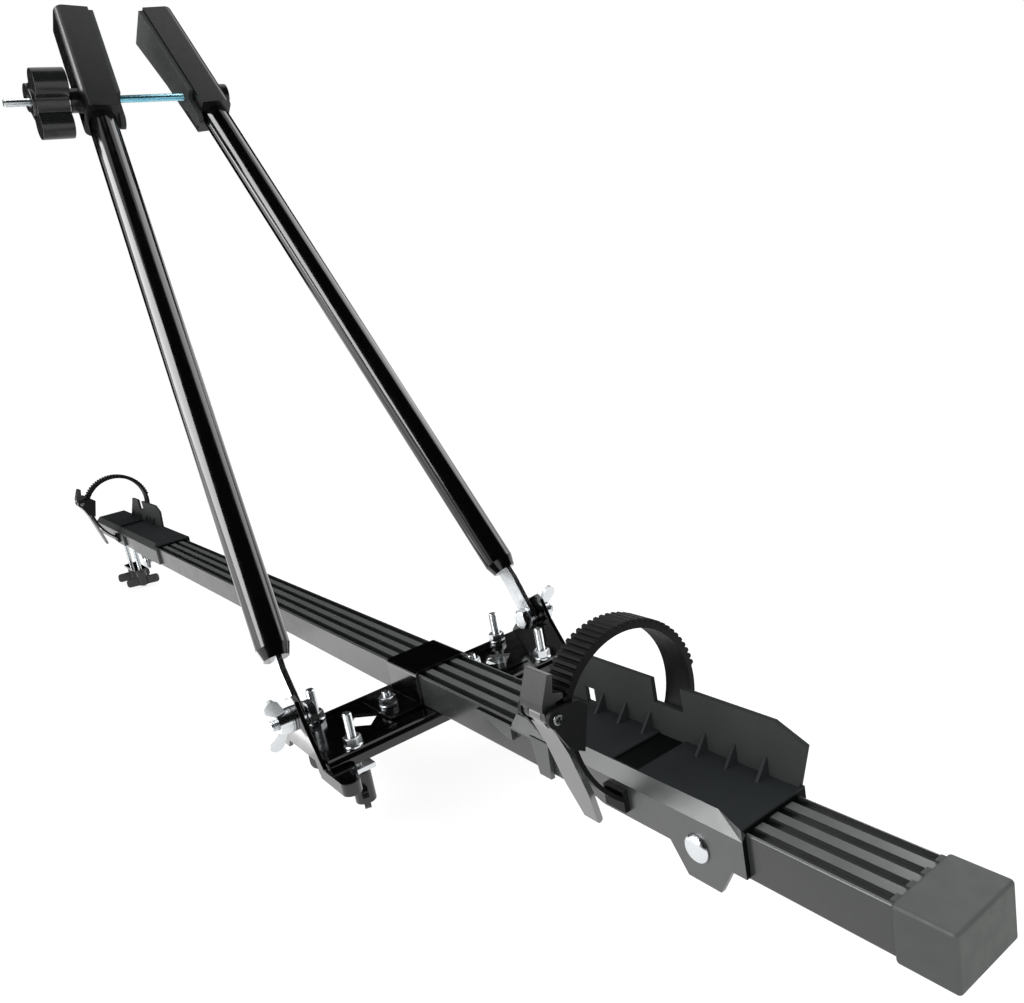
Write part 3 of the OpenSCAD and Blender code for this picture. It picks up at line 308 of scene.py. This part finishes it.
# the same polypropylene where the tool is polished, on the skirt and shoulder at the near side
polishedPolypropylene = makeBlackPlastic("polishedPolypropylene", {
    "dark": "#232626", "light": "#2b2e2e", "wornAndShadedEdge": "#272a2a", "ior": 1.8, "shine": 0.6, "rough": (0.34, 0.42),
    "blotchMm": 25, "grainMm": 0.9, "grainDepthMm": 0.02, "grain": 0.05})

slotMaterial = {
    "rail_paint": makePowderCoat(),
    "black_paint": makeBlackEnamel(),
    "zinc": makeZincPlate(),
    "black_plastic": mouldedNylon,
    "tray_plastic": makeTrayPlastic(),
    "strap_plastic": mouldedStrap,
    "pad_rubber": pressedRubber,
}
dullSteel = makeZincPlate("dullPlatedSteel", "#6f7273", "#8a8d8e")
ownMaterial = {
    "front_end_cap": etchedPolyethylene,
    "rear_end_plug": etchedPolyethylene,
    "jaw_bolt": makeBlueZinc(),
    "near_jaw": polishedNylon,
    "far_jaw": polishedNylon,
}
for end in ("front", "rear"):
    ownMaterial[end + "_buckle_base"] = etchedNylon
    ownMaterial[end + "_lever"] = mouldedAcetal
    ownMaterial[end + "_release"] = mouldedNylon
    ownMaterial[end + "_buckle_pin"] = dullSteel
print("materials made")


# pieces that stand for CAD nodes; points closer than the weld are one

weld = 0.002 * mm


def meshPiece(name, mesh, material):
    piece = bpy.data.objects.new(name, mesh)
    bpy.context.scene.collection.objects.link(piece)
    mesh.materials.clear()
    mesh.materials.append(material)
    return piece


def standFor(node, mesh, smoothAngle=35, shaded=False):
    if not shaded:
        mesh.shade_smooth()
    mesh.set_sharp_from_angle(angle=math.radians(smoothAngle))
    piece = meshPiece(node + "_look", mesh, ownMaterial.get(node) or slotMaterial[nodeSlot[node]])
    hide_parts(node)
    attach(piece, nodeBody[node])
    return piece


# every solid gets the small edge radius that its making leaves on it; broad faces stay flat
def roundedCopy(node, radiusMm, segments=2, edgeAngle=30):
    broad, evenDeg = 8 * mm, 0.6
    mesh = nodes[node].data.copy()
    shape = bmesh.new()
    shape.from_mesh(mesh)
    bmesh.ops.remove_doubles(shape, verts=shape.verts, dist=weld)
    bmesh.ops.dissolve_limit(shape, angle_limit=math.radians(evenDeg), verts=shape.verts, edges=shape.edges)
    corners = {e for e in shape.edges if e.is_manifold and e.calc_face_angle(0) > math.radians(edgeAngle)}
    for face in shape.faces:
        width = face.calc_area() / max(edge.calc_length() for edge in face.edges)
        face.smooth = width < broad and any(edge not in corners for edge in face.edges)
    if radiusMm > 0:
        rounds = bmesh.ops.bevel(shape, geom=list(corners), offset=radiusMm * mm, offset_type="OFFSET",
                                 segments=segments, profile=0.5, affect="EDGES", clamp_overlap=True)
        for face in rounds["faces"]:
            face.smooth = True
    shape.to_mesh(mesh)
    shape.free()
    piece = standFor(node, mesh, edgeAngle, shaded=True)
    flat = piece.modifiers.new("flatFaces", "WEIGHTED_NORMAL")
    flat.keep_sharp = True
    return piece


# separate solids of a node, each as a list of points
def solidsOf(node):
    shape = bmesh.new()
    shape.from_mesh(nodes[node].data)
    bmesh.ops.remove_doubles(shape, verts=shape.verts, dist=weld)
    left = set(shape.verts)
    solids = []
    while left:
        queue = [left.pop()]
        solid = []
        while queue:
            vert = queue.pop()
            solid.append(vert.co.copy())
            for edge in vert.link_edges:
                other = edge.other_vert(vert)
                if other in left:
                    left.remove(other)
                    queue.append(other)
        solids.append(solid)
    shape.free()
    return sorted(solids, key=lambda points: tuple(round(c, 5) for c in sum(points, Vector()) / len(points)))


# a fastener's own frame: its middle line, with the span of its points along it and from it
def fastenerFrame(points, axis, across):
    axis = Vector(axis).normalized()
    across = Vector(across).normalized()
    turn = Matrix((across, axis.cross(across), axis)).transposed()
    local = [turn.transposed() @ p for p in points]
    middle = [(min(p[i] for p in local) + max(p[i] for p in local)) / 2 for i in (0, 1)]
    spans = [(p.z, math.hypot(p.x - middle[0], p.y - middle[1])) for p in local]
    place = Matrix.Translation(turn @ Vector((*middle, 0))) @ turn.to_4x4()
    return place, spans


# a closed skin over rings of points; the ends are capped, or the last ring meets the first
def skin(place, rings, ends="caps"):
    count = len(rings[0])
    points = [place @ Vector(p) for ring in rings for p in ring]
    pairs = [(k, k + 1) for k in range(len(rings) - 1)]
    if ends == "loop":
        pairs.append((len(rings) - 1, 0))
    faces = [(a * count + i, a * count + (i + 1) % count, b * count + (i + 1) % count, b * count + i)
             for a, b in pairs for i in range(count)]
    if ends == "caps":
        faces.append(tuple(reversed(range(count))))
        faces.append(tuple(range(len(points) - count, len(points))))
    return points, faces


def meshFrom(name, skins):
    points = []
    faces = []
    for skinPoints, skinFaces in skins:
        faces += [tuple(i + len(points) for i in face) for face in skinFaces]
        points += [tuple(p) for p in skinPoints]
    mesh = bpy.data.meshes.new(name)
    mesh.from_pydata(points, [], faces)
    return mesh


def circle(radius, height, count=24):
    return [(radius * math.cos(2 * math.pi * i / count), radius * math.sin(2 * math.pi * i / count), height)
            for i in range(count)]


# rolled thread: a helix in the skin of the rod, with the crests at the rod's own radius
def threadRings(low, high, radius, pitchMm):
    look = {"sides": 18, "perTurn": 6, "depthShare": 0.55, "flat": 0.2}
    pitch = pitchMm * mm
    depth = pitch * look["depthShare"]
    steps = max(2, round((high - low) / pitch * look["perTurn"]))
    rings = []
    for k in range(steps + 1):
        height = low + (high - low) * k / steps
        lead = min(1, min(height - low, high - height) / pitch)
        ring = []
        for x, y, z in circle(1, height, look["sides"]):
            turn = ((height - low) / pitch - math.atan2(y, x) / (2 * math.pi)) % 1
            rise = (1 - abs(2 * turn - 1) - look["flat"]) / (1 - 2 * look["flat"])
            crest = radius - depth * (1 - min(1, max(0, rise)))
            reach = min(crest, radius - depth * (1 - lead))
            ring.append((x * reach, y * reach, z))
        rings.append(ring)
    return rings


# hexagon with its corners turned off at both ends, as a lathe leaves them
def hexRings(acrossFlats, low, high, bore=None):
    look = {"sides": 48, "crown": 0.96, "slope": math.tan(math.radians(30))}
    crown = acrossFlats / 2 * look["crown"]
    outline = []
    for i in range(look["sides"]):
        angle = 2 * math.pi * i / look["sides"]
        reach = acrossFlats / 2 / math.cos(angle % (math.pi / 3) - math.pi / 6)
        outline.append((angle, reach, (reach - crown) * look["slope"]))
    lower = [(r * math.cos(a), r * math.sin(a), low + cut) for a, r, cut in outline]
    upper = [(r * math.cos(a), r * math.sin(a), high - cut) for a, r, cut in outline]
    rings = [circle(crown, low, look["sides"]), lower, upper, circle(crown, high, look["sides"])]
    if bore:
        rings = [circle(bore, low, look["sides"]), *rings, circle(bore, high, look["sides"])]
    return rings


def washerRings(bore, radius, low, high):
    soft, sides = 0.25 * mm, 32
    outline = [(bore, low), (radius - soft, low), (radius, low + soft), (radius, high - soft), (radius - soft, high),
               (bore, high)]
    return [circle(reach, height, sides) for reach, height in outline]


# heights at which a fastener's points lie at one distance from its middle line
def heightsAt(spans, radius):
    close = 0.05 * mm
    found = [z for z, r in spans if abs(r - radius) < close]
    return min(found), max(found)


fastener = {"rodMm": 3, "pitchMm": 1.0, "nutMm": 10, "boreMm": 3.1, "washerMm": 6,
            "pivotRodMm": 4, "pivotPitchMm": 1.25, "pivotHeadMm": 13, "domeMm": 6.8, "sinkMm": 0.2}
rod = fastener["rodMm"] * mm
sink = fastener["sinkMm"] * mm
up, along, near, far = (0, 0, 1), (1, 0, 0), (0, -1, 0), (0, 1, 0)

# plain studs
for node in ("saddle_studs", "near_clamp_studs", "far_clamp_studs"):
    skins = []
    for points in solidsOf(node):
        place, spans = fastenerFrame(points, up, along)
        skins.append(skin(place, threadRings(*heightsAt(spans, rod), rod, fastener["pitchMm"])))
    standFor(node, meshFrom(node, skins))

# washers and nuts
for node, axis in (("saddle_washers", up), ("stud_washers", up), ("saddle_nuts", up), ("stud_nuts", up),
                   ("front_tray_nut", far), ("rear_tray_nut", far)):
    skins = []
    for points in solidsOf(node):
        place, spans = fastenerFrame(points, axis, along)
        low, high = min(z for z, r in spans), max(z for z, r in spans)
        bore = fastener["boreMm"] * mm
        if "washers" in node:
            rings = washerRings(bore, fastener["washerMm"] * mm, low, high)
        else:
            rings = hexRings(fastener["nutMm"] * mm, low, high, bore)
        skins.append(skin(place, rings, "loop"))
    standFor(node, meshFrom(node, skins), 25)

# bolts of the rear clamp, with T heads that lie in the rail's slot
headSoft, headEnd = 0.6 * mm, 0.9
skins = []
for points in solidsOf("rear_clamp_bolts"):
    place, spans = fastenerFrame(points, up, along)
    low, high = heightsAt(spans, rod)
    skins.append(skin(place, threadRings(low, high + sink, rod, fastener["pitchMm"])))
    headTop = max(z for z, r in spans)
    box = [place.inverted() @ p for p in points]
    wide, deep = max(p.x for p in box), max(p.y for p in box)
    outline = [(wide, deep), (-wide, deep), (-wide, -deep), (wide, -deep)]
    rings = [[(x * share, y * share, z) for x, y in outline]
             for share, z in ((headEnd, high), (1, high + headSoft), (1, headTop - headSoft), (headEnd, headTop))]
    skins.append(skin(place, rings))
standFor("rear_clamp_bolts", meshFrom("rear_clamp_bolts", skins), 25)

# pivot bolts, one each way
skins = []
for points, axis in zip(sorted(solidsOf("pivot_bolts"), key=lambda solid: solid[0].y), (near, far)):
    place, spans = fastenerFrame(points, axis, along)
    low, high = heightsAt(spans, fastener["pivotRodMm"] * mm)
    head = min(z for z, r in spans)
    skins.append(skin(place, threadRings(low - sink, high, fastener["pivotRodMm"] * mm, fastener["pivotPitchMm"])))
    skins.append(skin(place, hexRings(fastener["pivotHeadMm"] * mm, head, low)))
standFor("pivot_bolts", meshFrom("pivot_bolts", skins), 25)

# the long bolt through the jaws
fold = next(j for j in record["behaviour"]["joints"] if j["name"] == "near_arm_swing")["axis"]
place, spans = fastenerFrame(solidsOf("jaw_bolt")[0], near, (-fold[0], 0, -fold[2]))
low, high = heightsAt(spans, rod)
head = min(z for z, r in spans)
skins = [skin(place, threadRings(low - sink, high, rod, fastener["pitchMm"])),
         skin(place, hexRings(fastener["nutMm"] * mm, head, low))]
standFor("jaw_bolt", meshFrom("jaw_bolt", skins), 25)

# tray bolts with their domes on the near side
domeLook = {"sides": 32, "steps": 8, "foot": 0.96, "footMm": 0.3, "rimMm": 0.5}
for node in ("front_tray_bolt", "rear_tray_bolt"):
    place, spans = fastenerFrame(solidsOf(node)[0], near, along)
    dome = fastener["domeMm"] * mm
    low = min(z for z, r in spans)
    rim, top = min(z for z, r in spans if r > rod * 1.5), max(z for z, r in spans)
    sides, steps = domeLook["sides"], domeLook["steps"]
    shoulder = rim + domeLook["rimMm"] * mm
    bends = [math.radians(90 * i / steps) for i in range(steps)]
    domeRings = [circle(dome * domeLook["foot"], rim, sides), circle(dome, rim + domeLook["footMm"] * mm, sides)]
    domeRings += [circle(dome * math.cos(b), shoulder + (top - shoulder) * math.sin(b), sides) for b in bends]
    skins = [skin(place, threadRings(low, rim + sink, rod, fastener["pitchMm"])), skin(place, domeRings)]
    standFor(node, meshFrom(node, skins), 40)

# tubular rivets through the buckles, rolled open at both ends
rivet = {"hollowMm": 1.1, "depthMm": 1.4, "rollMm": 0.5, "crownMm": 0.05, "leastMm": 1, "sides": 24}
for node in ("front_buckle_pin", "rear_buckle_pin"):
    place, spans = fastenerFrame(solidsOf(node)[0], along, far)
    low, high = min(z for z, r in spans), max(z for z, r in spans)
    headRadius = max(r for z, r in spans)
    shank = min(r for z, r in spans if r > rivet["leastMm"] * mm)
    neck = min(abs(z - low) for z, r in spans if abs(z - low) > 0.1 * mm)
    hollow, deep, roll, crown = [rivet[k] * mm for k in ("hollowMm", "depthMm", "rollMm", "crownMm")]
    half = [(hollow * 0.8, deep), (hollow, roll), (hollow + roll * 0.6, crown), (headRadius - roll * 0.8, crown),
            (headRadius - roll * 0.2, roll * 0.5), (headRadius, roll * 1.2), (headRadius, neck), (shank, neck)]
    rings = [circle(r, low + z, rivet["sides"]) for r, z in half]
    rings += [circle(r, high - z, rivet["sides"]) for r, z in reversed(half)]
    standFor(node, meshFrom(node, [skin(place, rings)]), 40)
print("threads, nuts, domes and rivets made")


# the other solids with their edges softened
edgeRadius = {
    "rail": 0.35, "front_end_cap": 0, "rear_end_plug": 0.8, "cross_bracket": 0.5, "near_pivot_ear": 0.6,
    "far_pivot_ear": 0.6, "saddle_strap": 0.6, "near_jaw": 1.6, "far_jaw": 1.6, "near_jaw_pad": 0.6,
    "far_jaw_pad": 0.6, "knob": 2.0, "front_tray": 0.4, "rear_tray": 0.4, "near_tongue": 0.5, "far_tongue": 0.5,
    "near_tube": 0.5, "far_tube": 0.5, "front_strap": 0.25, "rear_strap": 0.25, "near_pivot_wing_nut": 0.7,
    "far_pivot_wing_nut": 0.7, "front_release": 0.9, "rear_release": 0.9, "front_lever": 0.5, "rear_lever": 0.5,
}
commonRadius = 0.35
handNutRadius = 1.1
made = {obj.name[:-len("_look")] for obj in bpy.data.objects if obj.name.endswith("_look")}
for node in nodes:
    if node not in made:
        roundedCopy(node, edgeRadius.get(node, handNutRadius if "hand_nut" in node else commonRadius))

# the near side of the trays comes from the polished half of the tool
polishedBeyond = -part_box("rail")[1].y
flatFrom = 0.9
for node in ("front_tray", "rear_tray"):
    mesh = bpy.data.objects[node + "_look"].data
    mesh.materials.append(polishedPolypropylene)
    for face in mesh.polygons:
        face.material_index = 1 if face.center.y < polishedBeyond and face.normal.z < flatFrom else 0
print("solids rounded and dressed")


# raised ring round the bolt on the knob's outer face
def makeKnobRing():
    look = {"boreMm": 3.4, "radiusMm": 9.5, "heightMm": 1.6, "softMm": 0.6, "sides": 40, "smoothDeg": 50}
    place, spans = fastenerFrame(solidsOf("knob_washer")[0], near, along)
    face = -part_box("knob")[0].y
    bore, radius, height, soft = [look[k] * mm for k in ("boreMm", "radiusMm", "heightMm", "softMm")]
    top = face + height
    outline = [(bore, face - soft), (radius, face - soft), (radius, top - soft), (radius - soft * 0.3, top - soft * 0.3),
               (radius - soft, top), (bore + soft, top), (bore, top - soft)]
    rings = [circle(reach, level, look["sides"]) for reach, level in outline]
    mesh = meshFrom("knob_ring", [skin(place, rings, "loop")])
    mesh.shade_smooth()
    mesh.set_sharp_from_angle(angle=math.radians(look["smoothDeg"]))
    ring = meshPiece("knob_ring", mesh, mouldedNylon)
    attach(ring, nodeBody["knob"])


makeKnobRing()


# camera at the photograph's place

camera = {"place": (0.52753, -0.25905, 0.25607), "turnDeg": (76.7037, 9.9886, 54.1151), "lens": 32.347, "sensor": 36}
cameraData = bpy.data.cameras.new("camera")
cameraData.lens = camera["lens"]
cameraData.sensor_width = camera["sensor"]
cameraData.clip_start = 0.01
cameraObject = bpy.data.objects.new("camera", cameraData)
bpy.context.scene.collection.objects.link(cameraObject)
cameraObject.location = camera["place"]
cameraObject.rotation_euler = Euler([math.radians(a) for a in camera["turnDeg"]], "XYZ")
bpy.context.scene.camera = cameraObject


# pale floor, white surroundings and soft lamps

def makeFloor():
    look = {"pale": ("#f4f4f3", "#f8f8f7"), "seen": ("#8a8a89", "#8e8e8d"), "blotchMm": 600, "lift": 0.81,
            "size": 14.0, "gapMm": 1.0}
    sockets = {"Roughness": 0.9, "Specular IOR Level": 0.0}
    material, tree, shader, place = startMaterial("paleStudioFloor", sockets)
    path = addNode(tree, "ShaderNodeLightPath")
    seen = addNode(tree, "ShaderNodeMath", {"operation": "MAXIMUM"},
                   {0: path.outputs["Is Camera Ray"], 1: path.outputs["Is Glossy Ray"]})
    colour = addNode(tree, "ShaderNodeMix", {"data_type": "RGBA"},
                     {0: seen.outputs[0], 6: blotches(tree, place["Object"], look["blotchMm"], *look["pale"]),
                      7: blotches(tree, place["Object"], look["blotchMm"], *look["seen"])})
    tree.links.new(colour.outputs[2], shader.inputs["Base Color"])
    white = addNode(tree, "ShaderNodeEmission", {"Color": (1, 1, 1, 1), "Strength": look["lift"]})
    lifted = addNode(tree, "ShaderNodeAddShader", None, {0: shader.outputs[0], 1: white.outputs[0]})
    mixed = addNode(tree, "ShaderNodeMixShader", None,
                    {0: seen.outputs[0], 1: shader.outputs[0], 2: lifted.outputs[0]})
    tree.links.new(mixed.outputs[0], tree.nodes["Material Output"].inputs["Surface"])
    mesh = bpy.data.meshes.new("floor")
    half = look["size"] / 2
    low = cadBox[0].z - look["gapMm"] * mm
    mesh.from_pydata([(-half, -half, low), (half, -half, low), (half, half, low), (-half, half, low)], [],
                     [(0, 1, 2, 3)])
    meshPiece("floor", mesh, material)
    return low


def makeWorld():
    look = {"fill": 0.75, "seen": 1.0}
    world = bpy.data.worlds.new("studio")
    bpy.context.scene.world = world
    world.use_nodes = True
    tree = world.node_tree
    path = addNode(tree, "ShaderNodeLightPath")
    mirror = addNode(tree, "ShaderNodeMath", {"operation": "MAXIMUM"},
                     {0: path.outputs["Is Glossy Ray"], 1: path.outputs["Is Transmission Ray"]})
    seen = addNode(tree, "ShaderNodeMath", {"operation": "MAXIMUM"},
                   {0: path.outputs["Is Camera Ray"], 1: mirror.outputs[0]})
    level = addNode(tree, "ShaderNodeMapRange", {"To Min": look["fill"], "To Max": look["seen"]},
                    {"Value": seen.outputs[0]})
    tree.links.new(level.outputs["Result"], tree.nodes["Background"].inputs["Strength"])
    tree.nodes["Background"].inputs["Color"].default_value = (1, 1, 1, 1)


def makeLamp(name, place, target, width, height, watts):
    data = bpy.data.lights.new(name, "AREA")
    data.shape = "RECTANGLE"
    data.size = width
    data.size_y = height
    data.energy = watts
    lamp = bpy.data.objects.new(name, data)
    bpy.context.scene.collection.objects.link(lamp)
    lamp.location = place
    lamp.visible_glossy = False
    lamp.rotation_euler = (Vector(target) - Vector(place)).to_track_quat("-Z", "Y").to_euler()


# black felt or a lit softbox beside the set, which only mirrors see
def makePanel(name, points, faces, glow):
    if glow:
        material, tree, shader, place = startMaterial(name + "Silk", {})
        light = addNode(tree, "ShaderNodeEmission", {"Color": (1, 1, 1, 1), "Strength": glow})
        tree.links.new(light.outputs[0], tree.nodes["Material Output"].inputs["Surface"])
    else:
        material, tree, shader, place = startMaterial(name + "Felt", {"Roughness": 1.0, "Specular IOR Level": 0.0})
        tree.links.new(blotches(tree, place["Object"], 40, "#060606", "#0a0a0a"), shader.inputs["Base Color"])
    mesh = bpy.data.meshes.new(name)
    mesh.from_pydata(points, [], faces)
    panel = meshPiece(name, mesh, material)
    panel.visible_camera = False
    panel.visible_diffuse = False
    panel.visible_shadow = False
    panel.visible_transmission = False


# a panel bent round the set, between two bearings and two heights in degrees
def makeBentPanel(name, bearings, heights, glow=0):
    look = {"centre": (-0.15, 0, 0.15), "radius": 3.2, "stepDeg": 6}
    across = max(1, round((bearings[1] - bearings[0]) / look["stepDeg"]))
    upward = max(1, round((heights[1] - heights[0]) / look["stepDeg"]))
    points = []
    for j in range(upward + 1):
        tilt = math.radians(heights[0] + (heights[1] - heights[0]) * j / upward)
        for i in range(across + 1):
            bearing = math.radians(bearings[0] + (bearings[1] - bearings[0]) * i / across)
            out = Vector((math.cos(tilt) * math.cos(bearing), math.cos(tilt) * math.sin(bearing), math.sin(tilt)))
            points.append(tuple(Vector(look["centre"]) + look["radius"] * out))
    row = across + 1
    faces = [(j * row + i, j * row + i + 1, (j + 1) * row + i + 1, (j + 1) * row + i)
             for j in range(upward) for i in range(across)]
    makePanel(name, points, faces, glow)


# a lit strip that lies on the floor
def makeFloorPanel(name, xSpan, ySpan, glow):
    height = floorHeight + 2 * mm
    makePanel(name, [(x, y, height) for y in ySpan for x in xSpan], [(0, 1, 3, 2)], glow)


floorHeight = makeFloor()
makeWorld()

# soft lamps, in metres and watts
makeLamp("keyLamp", place=(1.0, -1.4, 1.3), target=(-0.1, 0, 0.1), width=1.4, height=0.9, watts=18)
makeLamp("frontLamp", place=(1.8, -0.4, 0.7), target=(0.3, 0, 0.0), width=1.0, height=0.8, watts=8)
makeLamp("topLamp", place=(-0.5, 0.2, 2.2), target=(-0.3, 0, 0.1), width=1.6, height=1.2, watts=14)

# what the enamel and the plated parts mirror: bearings from the rail's front end, heights above the floor's level
makeBentPanel("sideSoftbox", bearings=(229, 280), heights=(15, 54), glow=9)
makeBentPanel("lowSoftbox", bearings=(212, 262), heights=(-2, 14), glow=2)
makeBentPanel("farSoftbox", bearings=(70, 114), heights=(14, 56), glow=3)
makeBentPanel("highFelt", bearings=(116, 146), heights=(17, 42))
makeBentPanel("rearFelt", bearings=(146, 212), heights=(-2, 40))
makeBentPanel("cameraFelt", bearings=(-80, 64), heights=(-2, 82))
makeFloorPanel("railStrip", xSpan=(-0.40, -0.13), ySpan=(-0.15, -0.06), glow=1.5)
makeFloorPanel("earStrip", xSpan=(-0.40, -0.13), ySpan=(-0.28, -0.15), glow=4)
bpy.context.scene.view_settings.view_transform = "Standard"
print("camera, floor and light placed")
